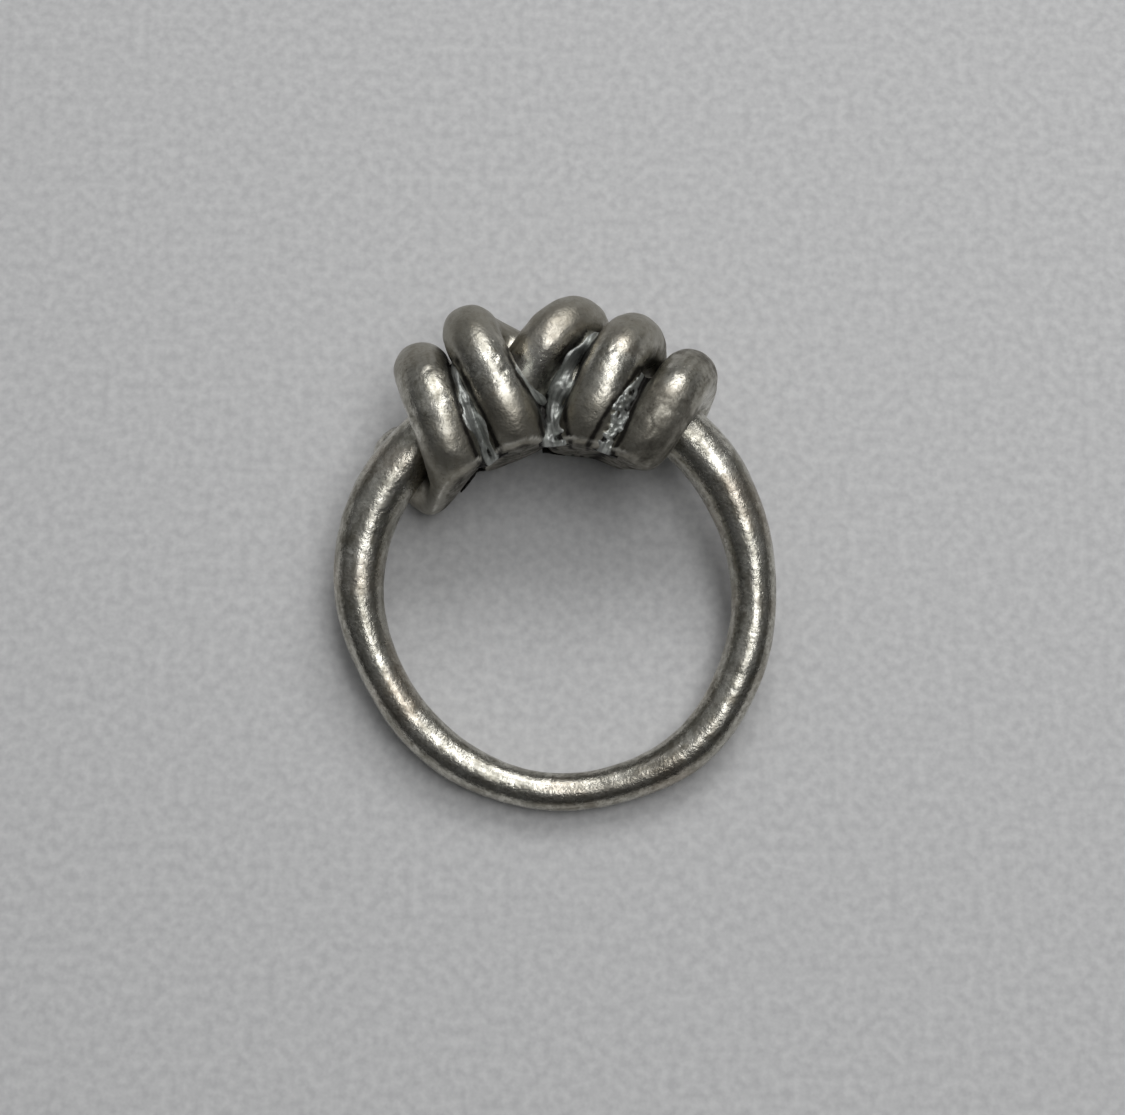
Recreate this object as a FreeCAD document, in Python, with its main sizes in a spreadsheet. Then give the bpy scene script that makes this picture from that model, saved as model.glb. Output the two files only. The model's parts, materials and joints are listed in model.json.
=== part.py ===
"""Knotted wire finger ring, lying on its side as it rests on a table.

A tapered round shank runs round the finger. Both of its ends run into a knot of the same wire: each end
passes through the other side's coil as its core, crosses over the middle of the knot and then coils round
the other end. The finger side of every coil is filed back to a cylinder, and solder fills the grooves.

The ring is drawn in its own plane: the finger axis is Z, the knot is towards +Y and angles are measured
from +X about the finger axis. Every sub-part is then tipped to the attitude in which the ring lies, with
its lowest points at Z = 0 and the middle of the finger hole above the origin.
"""

import FreeCAD
import Part
import math
import os

DOCUMENT = "knot_ring"
SHEET = "Dimensions"

# The driving dimensions, in millimetres and degrees.
DRIVING = {
    "wire_diameter": 2.78,
    "core_radius": 10.05,
    "filed_radius": 7.05,
    "file_length": 20.0,
    "corner_share": 0.46,
    "joint_gap": 0.02,
    "shank_left_angle": 126.3,
    "shank_right_angle": 417.7,
    "left_web_width": 2.0,
    "left_web_top": 3.35,
    "right_web_width": 1.8,
    "right_web_top": 2.6,
    "fork_web_top": 2.95,
    "rear_web_width": 1.3,
    "rear_web_top": 3.0,
    "web_root": 1.45,
    "rest_tilt": 11.9,
}

# The shank between its two ends: angle, radius of its centreline and diameter of its round section.
SHANK_STATIONS = [
    (150.0, 10.00, 2.78),
    (180.0, 9.80, 2.44),
    (205.0, 9.50, 2.10),
    (228.0, 9.57, 2.12),
    (250.0, 9.70, 1.96),
    (270.0, 9.85, 1.84),
    (290.0, 9.93, 1.90),
    (312.0, 10.10, 2.20),
    (335.0, 9.88, 2.28),
    (360.0, 9.74, 2.22),
    (385.0, 9.80, 2.58),
    (405.0, 10.02, 2.80),
]

# The corners of each strand of the knot as (angle, rise, side): rise above the core's centreline, away from
# the finger, and side along the finger axis, towards the front face when positive, in wire diameters.
STRANDS = {
    "front_crossing": [
        (126.0, 0.00, 0.00),
        (115.2, 0.06, 0.00),
        (104.5, -0.10, 0.05),
        (88.5, 1.24, 0.62),
        (82.6, 1.20, -1.04),
        (83.5, -1.12, -1.10),
        (81.0, -1.12, 1.04),
    ],
    "right_turn": [
        (83.5, -1.12, -1.10),
        (81.0, -1.12, 1.04),
        (75.0, 1.08, 1.04),
        (70.0, 1.10, -1.04),
    ],
    "right_end_turn": [
        (75.0, 1.08, 1.04),
        (70.0, 1.10, -1.04),
        (68.0, -1.12, -1.04),
        (59.8, -1.12, 1.04),
        (62.3, 1.02, 1.04),
        (55.5, 1.02, -1.19),
        (53.5, 0.00, -1.19),
    ],
    "rear_crossing": [
        (58.0, 0.00, 0.00),
        (66.8, 0.04, 0.00),
        (75.5, -0.10, -0.05),
        (107.5, 1.17, -0.62),
        (109.0, 1.28, 1.08),
        (102.3, -1.12, 1.12),
        (108.5, -1.12, -1.04),
    ],
    "left_turn": [
        (102.3, -1.12, 1.12),
        (108.5, -1.12, -1.04),
        (121.0, 1.03, -1.04),
        (121.5, 1.03, 1.04),
        (130.8, -1.12, 1.04),
        (141.0, -1.08, -1.02),
    ],
    "left_end_turn": [
        (130.8, -1.12, 1.04),
        (141.0, -1.08, -1.02),
        (137.0, 0.70, -1.04),
    ],
}

# Where a turn passes under or over the core, one strand of a wire ends and the next begins, halfway along
# the run that both of their corner lists hold.
STARTS_HALFWAY = {"right_turn", "right_end_turn", "left_turn", "left_end_turn"}
ENDS_HALFWAY = {"front_crossing", "right_turn", "rear_crossing", "left_turn"}

# The straight grooves between neighbouring turns that solder fills. low and high are the groove's two ends
# as (angle, radius); face is 1 on the front and -1 on the rear; width and top name driving dimensions.
STRAIGHT_WEBS = {
    "front_left_solder": {
        "low": (116.3, 7.4), "high": (115.2, 12.6), "face": 1,
        "width": "left_web_width", "top": "left_web_top",
    },
    "front_right_solder": {
        "low": (70.6, 7.8), "high": (68.3, 12.6), "face": 1,
        "width": "right_web_width", "top": "right_web_top",
    },
    "rear_left_solder": {
        "low": (126.0, 7.4), "high": (128.5, 11.4), "face": -1,
        "width": "rear_web_width", "top": "rear_web_top",
    },
    "rear_right_solder": {
        "low": (75.8, 8.4), "high": (78.0, 12.6), "face": -1,
        "width": "rear_web_width", "top": "rear_web_top",
    },
}

# The forked groove where the crossing strands leave the coils, seen from the front: X and Y of its outline.
# The rear one is the same turned over.
FORK_WEBS = {"front_fork_solder": 1, "rear_fork_solder": -1}
FORK_OUTLINE = [
    (1.5, 13.0), (2.8, 13.0), (1.8, 10.0), (1.2, 7.0), (-1.3, 7.0), (-1.6, 9.4), (-0.6, 10.4),
]

# What each sub-part is fitted against: the space of each of these wires is taken off it.
FITTED_TO = {
    "shank": [],
    "front_crossing": [],
    "right_turn": ["right_end_turn"],
    "right_end_turn": ["front_crossing", "rear_crossing"],
    "rear_crossing": ["front_crossing"],
    "left_turn": ["rear_crossing"],
    "left_end_turn": ["left_turn"],
    "front_left_solder": ["rear_crossing", "left_turn"],
    "front_fork_solder": ["front_crossing", "right_turn", "rear_crossing"],
    "front_right_solder": ["right_turn", "right_end_turn"],
    "rear_left_solder": ["left_turn", "left_end_turn"],
    "rear_fork_solder": ["front_crossing", "rear_crossing", "left_turn"],
    "rear_right_solder": ["front_crossing", "right_end_turn", "rear_crossing"],
}

X_AXIS = FreeCAD.Vector(1, 0, 0)
Y_AXIS = FreeCAD.Vector(0, 1, 0)
Z_AXIS = FreeCAD.Vector(0, 0, 1)

document = FreeCAD.newDocument(DOCUMENT)
sheet = document.addObject("Spreadsheet::Sheet", SHEET)
for row, (alias, value) in enumerate(DRIVING.items(), start=1):
    sheet.set(f"A{row}", alias)
    sheet.set(f"B{row}", str(value))
    sheet.setAlias(f"B{row}", alias)
document.recompute()


def ring_point(angle, radius, side=0.0):
    """A point of the ring's own plane frame, from its polar place about the finger axis."""
    turn = math.radians(angle)
    return FreeCAD.Vector(radius * math.cos(turn), radius * math.sin(turn), side)


def strand_point(angle, rise, side):
    """A strand's corner, from its rise and side in wire diameters."""
    return ring_point(angle, sheet.core_radius + rise * sheet.wire_diameter, side * sheet.wire_diameter)


def section(name, centre, direction, diameter):
    """A round section of a wire, square to its direction. diameter is an expression or a number."""
    circle = document.addObject("Part::Circle", name)
    circle.setExpression("Radius", f"({diameter}) / 2")
    outward = FreeCAD.Vector(centre.x, centre.y, 0)
    turn = FreeCAD.Rotation(outward, FreeCAD.Vector(), direction, "ZXY")
    circle.Placement = FreeCAD.Placement(centre, turn)
    return circle


def make_shank():
    """The tapered rod round the finger, lofted through its stations from one end in the knot to the other."""
    wire = f"{SHEET}.wire_diameter"
    stations = [(sheet.shank_left_angle, sheet.core_radius, wire)]
    stations += SHANK_STATIONS
    stations += [(sheet.shank_right_angle, sheet.core_radius, wire)]
    sections = []
    for number, (angle, radius, diameter) in enumerate(stations):
        tangent = ring_point(angle + 90.0, 1.0)
        sections.append(section(f"shank_section_{number}", ring_point(angle, radius), tangent, diameter))
    shank = document.addObject("Part::Loft", "shank_rod")
    shank.Sections = sections
    shank.Solid = True
    shank.Ruled = False
    return shank


def rounded_path(corners, half_start, half_end):
    """Straight runs joined by tangent arcs. half_start and half_end say that an end run is half of a run
    that goes on in the next strand, so that both strands round their corners alike."""
    runs = [(after - before).Length for before, after in zip(corners, corners[1:])]
    shares = [sheet.corner_share] * len(runs)
    if half_start:
        shares[0] *= 2
    if half_end:
        shares[-1] *= 2
    edges = []
    start = corners[0]
    for number in range(1, len(corners) - 1):
        corner = corners[number]
        arriving = (corner - corners[number - 1]).normalize()
        leaving = (corners[number + 1] - corner).normalize()
        reach = min(runs[number - 1] * shares[number - 1], runs[number] * shares[number])
        half_turn = arriving.getAngle(leaving) / 2
        radius = reach / math.tan(half_turn)
        inward = (leaving - arriving).normalize()
        enter = corner - arriving * reach
        middle = corner + inward * (radius / math.cos(half_turn) - radius)
        leave = corner + leaving * reach
        edges.append(Part.LineSegment(start, enter).toShape())
        edges.append(Part.Arc(enter, middle, leave).toShape())
        start = leave
    edges.append(Part.LineSegment(start, corners[-1]).toShape())
    return Part.Wire(edges)


def make_strand(name):
    """One strand of the knot: a round wire swept along its rounded path."""
    corners = [strand_point(*corner) for corner in STRANDS[name]]
    half_start = name in STARTS_HALFWAY
    half_end = name in ENDS_HALFWAY
    run_gap = sheet.joint_gap / 2
    if half_start:
        run = (corners[1] - corners[0]).normalize()
        corners[0] = (corners[0] + corners[1]) / 2 + run * run_gap
    if half_end:
        run = (corners[-1] - corners[-2]).normalize()
        corners[-1] = (corners[-2] + corners[-1]) / 2 - run * run_gap
    path = document.addObject("Part::Feature", f"{name}_path")
    path.Shape = rounded_path(corners, half_start, half_end)
    start = section(f"{name}_section", corners[0], corners[1] - corners[0], f"{SHEET}.wire_diameter")
    sweep = document.addObject("Part::Sweep", f"{name}_wire")
    sweep.Sections = [start]
    sweep.Spine = (path, [f"Edge{number + 1}" for number in range(len(path.Shape.Edges))])
    sweep.Solid = True
    sweep.Frenet = False
    sweep.Transition = "Transformed"
    return sweep


def make_straight_web(name, low, high, face, width, top):
    """A slab of solder along one groove, before it is fitted between its turns."""
    start = ring_point(*low)
    along = ring_point(*high) - start
    across = sheet.getPropertyByName(width)
    turn = FreeCAD.Rotation(along, FreeCAD.Vector(), Z_AXIS, "ZXY")
    bottom = sheet.web_root if face > 0 else -sheet.getPropertyByName(top)
    slab = document.addObject("Part::Box", f"{name}_slab")
    slab.Length = along.Length
    slab.setExpression("Width", f"{SHEET}.{width}")
    slab.setExpression("Height", f"{SHEET}.{top} - {SHEET}.web_root")
    slab.Placement = FreeCAD.Placement(start + turn.multVec(FreeCAD.Vector(0, -across / 2, bottom)), turn)
    return slab


def make_fork_web(name, face):
    """The forked fill at the middle of the knot, padded from its outline before it is fitted."""
    body = document.addObject("PartDesign::Body", f"{name}_body")
    sketch = body.newObject("Sketcher::SketchObject", f"{name}_outline")
    plane = next(feature for feature in body.Origin.OriginFeatures if feature.Role == "XY_Plane")
    sketch.AttachmentSupport = [(plane, "")]
    sketch.MapMode = "FlatFace"
    sketch.AttachmentOffset = FreeCAD.Placement(FreeCAD.Vector(0, 0, sheet.web_root), FreeCAD.Rotation())
    corners = [FreeCAD.Vector(x, y, 0) for x, y in FORK_OUTLINE]
    for start, end in zip(corners, corners[1:] + corners[:1]):
        sketch.addGeometry(Part.LineSegment(start, end), False)
    pad = body.newObject("PartDesign::Pad", f"{name}_pad")
    pad.Profile = sketch
    pad.setExpression("Length", f"{SHEET}.fork_web_top - {SHEET}.web_root")
    if face < 0:
        body.Placement = FreeCAD.Placement(FreeCAD.Vector(), FreeCAD.Rotation(Y_AXIS, 180))
    return body


def make_finger_file():
    """The cylinder that the finger side of the knot is filed back to, with its seam towards the knot."""
    finger = document.addObject("Part::Cylinder", "finger_file")
    finger.setExpression("Radius", f"{SHEET}.filed_radius")
    finger.setExpression("Height", f"{SHEET}.file_length")
    finger.Placement = FreeCAD.Placement(FreeCAD.Vector(), FreeCAD.Rotation(Z_AXIS, 90))
    finger.setExpression("Placement.Base.z", f"-{SHEET}.file_length / 2")
    return finger


def cut_away(piece, tool, name):
    """The piece without the tool's space, as a cut that keeps both in the document."""
    cut = document.addObject("Part::Cut", name)
    cut.Base = piece
    cut.Tool = tool
    cut.Refine = False
    return cut


raw = {"shank": make_shank()}
raw.update({name: make_strand(name) for name in STRANDS})
raw.update({name: make_straight_web(name, **web) for name, web in STRAIGHT_WEBS.items()})
raw.update({name: make_fork_web(name, face) for name, face in FORK_WEBS.items()})
finger_file = make_finger_file()


def rest_placement(pieces):
    """The attitude in which the ring lies on its knot and the back of its shank, with the origin at the
    bottom centre of the box round all the pieces."""
    turn = FreeCAD.Placement(FreeCAD.Vector(), FreeCAD.Rotation(X_AXIS, sheet.rest_tilt))
    box = FreeCAD.BoundBox()
    for piece in pieces:
        lying = piece.Shape.copy()
        lying.Placement = turn * lying.Placement
        box.add(lying.optimalBoundingBox())
    lift = FreeCAD.Placement(FreeCAD.Vector(-box.Center.x, -box.Center.y, -box.ZMin), FreeCAD.Rotation())
    return lift * turn


sub_parts = {}
for name, neighbours in FITTED_TO.items():
    piece = raw[name]
    for neighbour in neighbours:
        piece = cut_away(piece, raw[neighbour], f"{name}_beside_{neighbour}")
    if name != "shank":
        piece = cut_away(piece, finger_file, f"{name}_filed")
    sub_parts[name] = piece
document.recompute()

rest = rest_placement(sub_parts.values())
for name, sub_part in sub_parts.items():
    sub_part.Label = name
    sub_part.Placement = rest
document.recompute()

for item in document.Objects:
    if "Invalid" in item.State or "Error" in item.State:
        raise RuntimeError(f"{item.Label} is {item.State}")
for name, sub_part in sub_parts.items():
    shape = sub_part.Shape
    if shape.isNull() or not shape.isValid() or len(shape.Solids) != 1:
        raise RuntimeError(f"{name} isn't one valid solid")

os.makedirs("parts", exist_ok=True)
for name, sub_part in sub_parts.items():
    sub_part.Shape.exportStep(os.path.join("parts", f"{name}.step"))
print("finger hole centre", rest.Base, "finger axis", rest.Rotation.multVec(Z_AXIS))
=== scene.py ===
"""Looks of the knotted wire finger ring.

The whole ring is one wire: the shank, and on each side a strand that crosses the knot and coils round the
other one. Its centreline and thickness are worked out here in the ring's own plane (millimetres, finger axis
Z, knot towards +Y). Its skin is pushed out to where neighbouring turns melt into each other and back to the
filed finger side, and is then cut into one piece for each CAD node. Solder skins fill the grooves.
"""

import json
import math

import bpy
import numpy as np
from mathutils import Matrix, Vector


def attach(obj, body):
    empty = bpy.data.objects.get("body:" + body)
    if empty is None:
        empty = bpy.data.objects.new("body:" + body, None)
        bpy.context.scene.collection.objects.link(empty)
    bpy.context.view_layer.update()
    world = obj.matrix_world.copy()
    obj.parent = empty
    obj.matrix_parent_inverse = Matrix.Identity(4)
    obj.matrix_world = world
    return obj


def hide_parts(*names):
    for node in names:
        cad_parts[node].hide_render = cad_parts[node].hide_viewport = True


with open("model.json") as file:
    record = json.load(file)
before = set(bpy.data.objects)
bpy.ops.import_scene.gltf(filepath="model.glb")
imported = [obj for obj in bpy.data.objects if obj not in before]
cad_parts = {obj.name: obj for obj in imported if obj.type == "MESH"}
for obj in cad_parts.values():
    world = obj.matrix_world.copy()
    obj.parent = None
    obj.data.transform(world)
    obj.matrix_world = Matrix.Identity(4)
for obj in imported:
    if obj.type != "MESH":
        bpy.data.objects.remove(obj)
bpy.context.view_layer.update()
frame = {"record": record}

MM = 0.001
WIRE_RADIUS = 1.39
CORE_RADIUS = 10.05    # of the wire's centreline inside the coils
FILED_RADIUS = 7.05    # of the knot's filed finger side
CORNER_SHARE = 0.46    # how much of the shorter run beside a corner its arc takes up
STEP_ALONG = 0.10
POINTS_ROUND = 80
LINE_EASING = 5        # half widths, in steps, of the windows that the line and the radius are averaged over
RADIUS_EASING = 8
FAR = 9.0              # a distance that stands for nothing near

# ---------------------------------------------------------------------------------------------------------
# The wire's centreline
# ---------------------------------------------------------------------------------------------------------

# The shank between the knot's two ends: angle, radius of its centreline and its diameter.
SHANK_STATIONS = [
    (126.0, 10.05, 2.78), (150.0, 10.00, 2.78), (180.0, 9.80, 2.44), (205.0, 9.50, 2.10),
    (228.0, 9.57, 2.12), (250.0, 9.70, 1.96), (270.0, 9.85, 1.84), (290.0, 9.93, 1.90),
    (312.0, 10.10, 2.20), (335.0, 9.88, 2.28), (360.0, 9.74, 2.22), (385.0, 9.80, 2.58),
    (405.0, 10.02, 2.80), (418.0, 10.05, 2.78),
]

# The strand that leaves the shank's left end, and the one that leaves its right end: corners as (angle,
# rise, side), the rise from the core's centreline and the side along the finger axis in wire diameters.
LEFT_STRAND = [
    (126.0, 0.00, 0.00), (115.2, 0.06, 0.00), (104.5, -0.10, 0.05), (88.5, 1.24, 0.62), (82.6, 1.20, -1.04),
    (83.5, -1.12, -1.10), (81.0, -1.12, 1.14), (75.0, 1.08, 0.98), (70.0, 1.10, -1.04), (68.0, -1.12, -1.04),
    (59.6, -1.12, 1.14), (59.0, 0.92, 0.98), (57.3, 0.84, -1.19), (55.5, 0.00, -1.19),
]
RIGHT_STRAND = [
    (58.0, 0.00, 0.00), (66.8, 0.04, 0.00), (75.5, -0.10, -0.05), (107.5, 1.17, -0.62), (109.0, 1.28, 1.00),
    (102.3, -1.12, 1.18), (108.5, -1.12, -1.04), (121.0, 1.03, -1.04), (121.5, 1.03, 0.98),
    (130.8, -1.12, 1.12), (141.0, -1.08, -1.02), (137.0, 0.70, -1.04),
]
# Where each strand changes from one node to the next: the middle of the run that starts at this corner.
LEFT_SPLITS = {"front_crossing": 5, "right_turn": 7}
RIGHT_SPLITS = {"rear_crossing": 5, "left_turn": 9}


def polar(angle, radius, side=0.0):
    """A point of the ring's plane frame from its angle about the finger axis."""
    turn = math.radians(angle)
    return np.array([radius * math.cos(turn), radius * math.sin(turn), side])


def strand_corner(angle, rise, side):
    """A strand's corner in millimetres."""
    diameter = 2 * WIRE_RADIUS
    return polar(angle, CORE_RADIUS + rise * diameter, side * diameter)


def rounded(corners):
    """Closely spaced points along runs joined by tangent arcs, and the index of each run's middle."""
    points = [corners[0]]
    middles = {}
    runs = [np.linalg.norm(b - a) for a, b in zip(corners, corners[1:])]
    for number in range(1, len(corners)):
        corner = corners[number]
        if number == len(corners) - 1:
            leg_end = corner
            arc = []
        else:
            arriving = (corner - corners[number - 1]) / runs[number - 1]
            leaving = (corners[number + 1] - corner) / runs[number]
            reach = CORNER_SHARE * min(runs[number - 1], runs[number])
            half_turn = math.acos(np.clip(arriving @ leaving, -1.0, 1.0)) / 2
            arc_radius = reach / math.tan(half_turn)
            inward = (leaving - arriving) / np.linalg.norm(leaving - arriving)
            arc_centre = corner + inward * arc_radius / math.cos(half_turn)
            leg_end = corner - arriving * reach
            outward = (leg_end - arc_centre) / arc_radius
            steps = max(2, int(2 * half_turn * arc_radius / STEP_ALONG))
            turns = [2 * half_turn * step / steps for step in range(1, steps + 1)]
            arc = [
                arc_centre + arc_radius * (outward * math.cos(turn) + arriving * math.sin(turn))
                for turn in turns
            ]
        leg_start = points[-1]
        steps = max(1, int(np.linalg.norm(leg_end - leg_start) / STEP_ALONG))
        middles[number - 1] = len(points) + steps // 2
        points += [leg_start + (leg_end - leg_start) * step / steps for step in range(1, steps + 1)]
        points += arc
    return np.array(points), middles


def smooth_curve(where, knots, values):
    """A cubic Hermite curve through the values, with slopes from their neighbours."""
    slopes = np.gradient(values, knots)
    index = np.clip(np.searchsorted(knots, where, side="right") - 1, 0, len(knots) - 2)
    gap = knots[index + 1] - knots[index]
    t = (where - knots[index]) / gap
    return (
        (2 * t**3 - 3 * t**2 + 1) * values[index]
        + (t**3 - 2 * t**2 + t) * gap * slopes[index]
        + (3 * t**2 - 2 * t**3) * values[index + 1]
        + (t**3 - t**2) * gap * slopes[index + 1]
    )


def shank_line():
    """Points along the shank's centreline with the wire's radius at each."""
    angles, radii, diameters = np.array(SHANK_STATIONS).T
    length = math.radians(angles[-1] - angles[0]) * CORE_RADIUS
    fine = np.linspace(angles[0], angles[-1], int(length / STEP_ALONG))
    line = np.array([polar(angle, reach) for angle, reach in zip(fine, smooth_curve(fine, angles, radii))])
    return line, smooth_curve(fine, angles, diameters) / 2


def eased(values, reach):
    """The values averaged over a window along the wire, which takes the jumps out of its curvature."""
    kernel = np.hanning(2 * reach + 3)[1:-1]
    kernel /= kernel.sum()
    padded = np.concatenate([
        2 * values[0] - values[reach:0:-1], values, 2 * values[-1] - values[-2:-reach - 2:-1],
    ])
    return np.stack([np.convolve(column, kernel, mode="valid") for column in padded.T], axis=1)


left_line, left_middles = rounded([strand_corner(*corner) for corner in LEFT_STRAND])
right_line, right_middles = rounded([strand_corner(*corner) for corner in RIGHT_STRAND])
shank_points, shank_radii = shank_line()

# One wire: the right strand from its far end, the shank backwards from right to left, and the left strand.
shank_start = len(right_line)
shank_end = shank_start + len(shank_points)
centre = np.concatenate([right_line[::-1], shank_points[::-1], left_line])
radius = np.concatenate([
    np.full(len(right_line), WIRE_RADIUS), shank_radii[::-1], np.full(len(left_line), WIRE_RADIUS),
])
centre = eased(centre, LINE_EASING)
radius = eased(radius[:, None], RADIUS_EASING)[:, 0]
arc_length = np.concatenate([[0.0], np.cumsum(np.linalg.norm(np.diff(centre, axis=0), axis=1))])


def left_split(node):
    return shank_end + left_middles[LEFT_SPLITS[node]]


def right_split(node):
    return shank_start - 1 - right_middles[RIGHT_SPLITS[node]]


NODE_SPANS = {
    "left_end_turn": (0, right_split("left_turn")),
    "left_turn": (right_split("left_turn"), right_split("rear_crossing")),
    "rear_crossing": (right_split("rear_crossing"), shank_start),
    "shank": (shank_start, shank_end),
    "front_crossing": (shank_end, left_split("front_crossing")),
    "right_turn": (left_split("front_crossing"), left_split("right_turn")),
    "right_end_turn": (left_split("right_turn"), len(centre) - 1),
}

# ---------------------------------------------------------------------------------------------------------
# The wire's skin
# ---------------------------------------------------------------------------------------------------------

MELT = 0.30            # how widely neighbouring turns run into each other
FILE_EDGE = 0.22       # rounding of the filed edge
OWN_REACH = 4.0        # a turn doesn't melt into its own wire within this length
NEARBY = 5.0           # nor into wire whose centreline is further off than this
MOST_SWELL = 0.45      # how far the skin may stand out from the plain wire, and how thin it may get
LEAST_REACH = 0.02
SKIN_ROUNDS = 7
END_ROUNDING = 1.1     # length over which a free end is rounded off
FILE_MARKS = 0.03      # roughness of the filed surface
BURR = 0.12            # how far the filed edge stands out, and how wide that is
BURR_WIDTH = 0.24
LIP_REACH = 0.6        # how far from the filed surface the lips are worn
TIP_REACH = 1.7        # and at the knot's two outer tips, which start this many degrees from its middle
TIP_START = 31.0
TIP_FADE = 6.0
KNOT_MIDDLE = 93.5
MIDDLE_WEAR = 0.22     # how much the other lips are worn, as a share of the tips
LIP_ROUNDS = 110
LUMP = 0.008           # height of the hammered lumps and of the dents, and how much more the knot has
DENT = 0.005
KNOT_LUMPS = 1.8

# Nicks in the front of the turns: angle, radius, half length, half width, depth and heading of the long side.
NICKS = [
    (58.9, 7.75, 0.30, 0.11, 0.07, 170.0), (55.0, 10.9, 0.34, 0.10, 0.06, 150.0),
    (56.4, 10.3, 0.26, 0.09, 0.05, 150.0), (104.9, 11.5, 0.16, 0.14, 0.035, 0.0),
    (103.6, 10.8, 0.22, 0.12, 0.035, 20.0), (131.5, 8.6, 0.30, 0.08, 0.05, 70.0),
    (76.8, 11.9, 0.20, 0.12, 0.04, 60.0), (79.6, 9.8, 0.26, 0.10, 0.04, 40.0),
    (120.4, 12.3, 0.24, 0.10, 0.04, 30.0), (90.6, 12.6, 0.30, 0.09, 0.04, 50.0),
    (75.2, 9.0, 0.18, 0.12, 0.04, 80.0), (60.5, 9.2, 0.30, 0.08, 0.05, 100.0),
]
NICKED_FROM = 2.0      # only skin this far to the front has nicks


class Ripple:
    """Smooth random lumps: a sum of waves in random directions, the same on every run."""

    def __init__(self, seed, shortest, longest, waves=28):
        random = np.random.default_rng(seed)
        directions = random.normal(size=(waves, 3))
        directions /= np.linalg.norm(directions, axis=1)[:, None]
        lengths = np.exp(random.uniform(math.log(shortest), math.log(longest), waves))
        self.vectors = directions * (2 * math.pi / lengths)[:, None]
        self.phases = random.uniform(0, 2 * math.pi, waves)
        self.scale = math.sqrt(2.0 / waves)

    def __call__(self, points):
        return np.sin(points @ self.vectors.T + self.phases).sum(axis=-1) * self.scale


lumps = Ripple(3, 2.5, 6.0)
dents = Ripple(5, 0.7, 1.6)
file_marks = Ripple(11, 0.35, 0.8)


def nicked(points):
    """Depth of the nicks at each point."""
    depth = np.zeros(len(points))
    for angle, reach, half_length, half_width, deep, heading in NICKS:
        turn = math.radians(heading)
        offset = points[:, :2] - polar(angle, reach)[:2]
        along = offset @ np.array([math.cos(turn), math.sin(turn)]) / half_length
        across = offset @ np.array([-math.sin(turn), math.cos(turn)]) / half_width
        depth += deep * np.exp(-((along**2 + across**2) ** 1.5)) * (points[:, 2] > NICKED_FROM)
    return depth


def smooth_min(a, b, width):
    """The smaller of two distances, with the corner between them rounded over a width."""
    mix = np.clip(0.5 + 0.5 * (b - a) / width, 0.0, 1.0)
    return b + (a - b) * mix - width * mix * (1 - mix)


def smooth_max(a, b, width):
    return -smooth_min(-a, -b, width)


def frames_along(points):
    """Two directions square to the line at each point, turning as little as they can along it."""
    tangents = np.gradient(points, axis=0)
    tangents /= np.linalg.norm(tangents, axis=1)[:, None]
    first = np.cross(tangents[0], [0.0, 0.0, 1.0])
    first /= np.linalg.norm(first)
    across = [first]
    for tangent in tangents[1:]:
        carried = across[-1] - tangent * (across[-1] @ tangent)
        across.append(carried / np.linalg.norm(carried))
    across = np.array(across)
    return across, np.cross(tangents, across)


def skin():
    """The wire's skin as rings of points, with how close each point is to a neighbouring turn."""
    across, upward = frames_along(centre)
    turns = np.linspace(0, 2 * math.pi, POINTS_ROUND, endpoint=False)
    ends = np.minimum(arc_length, arc_length[-1] - arc_length)
    ends = np.clip(ends / END_ROUNDING, 0.0, 1.0)
    ring_radius = radius * np.sqrt(np.clip(1 - (1 - ends) ** 2, 0.0, 1.0))
    rings = np.empty((len(centre), POINTS_ROUND, 3))
    gaps = np.empty((len(centre), POINTS_ROUND))
    for number, middle in enumerate(centre):
        outward = np.cos(turns)[:, None] * across[number] + np.sin(turns)[:, None] * upward[number]
        apart = np.abs(arc_length - arc_length[number]) > OWN_REACH
        near = apart & (np.linalg.norm(centre - middle, axis=1) < NEARBY)
        others, other_radii = centre[near], radius[near]
        surface = middle + outward * ring_radius[number]
        in_knot = number < shank_start or number >= shank_end
        amount = KNOT_LUMPS if in_knot else 1.0
        hammered = amount * (LUMP * lumps(surface) + DENT * dents(surface))
        own = ring_radius[number] + hammered - nicked(surface)
        reach = own.copy()
        for _ in range(SKIN_ROUNDS):
            points = middle + outward * reach[:, None]
            gap = np.full(POINTS_ROUND, FAR)
            if len(others):
                between = np.linalg.norm(points[:, None] - others[None], axis=2) - other_radii
                gap = between.min(axis=1)
            filed = FILED_RADIUS - np.hypot(points[:, 0], points[:, 1])
            burr = in_knot * BURR * np.exp(-((filed / BURR_WIDTH) ** 2))
            field = smooth_min(reach - own - burr, gap, MELT)
            if in_knot:
                field = smooth_max(field, filed + FILE_MARKS * file_marks(points), FILE_EDGE)
            reach = np.clip(reach - field, LEAST_REACH, own + MOST_SWELL)
        rings[number] = middle + outward * reach[:, None]
        gaps[number] = gap
    return rings, gaps


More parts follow.
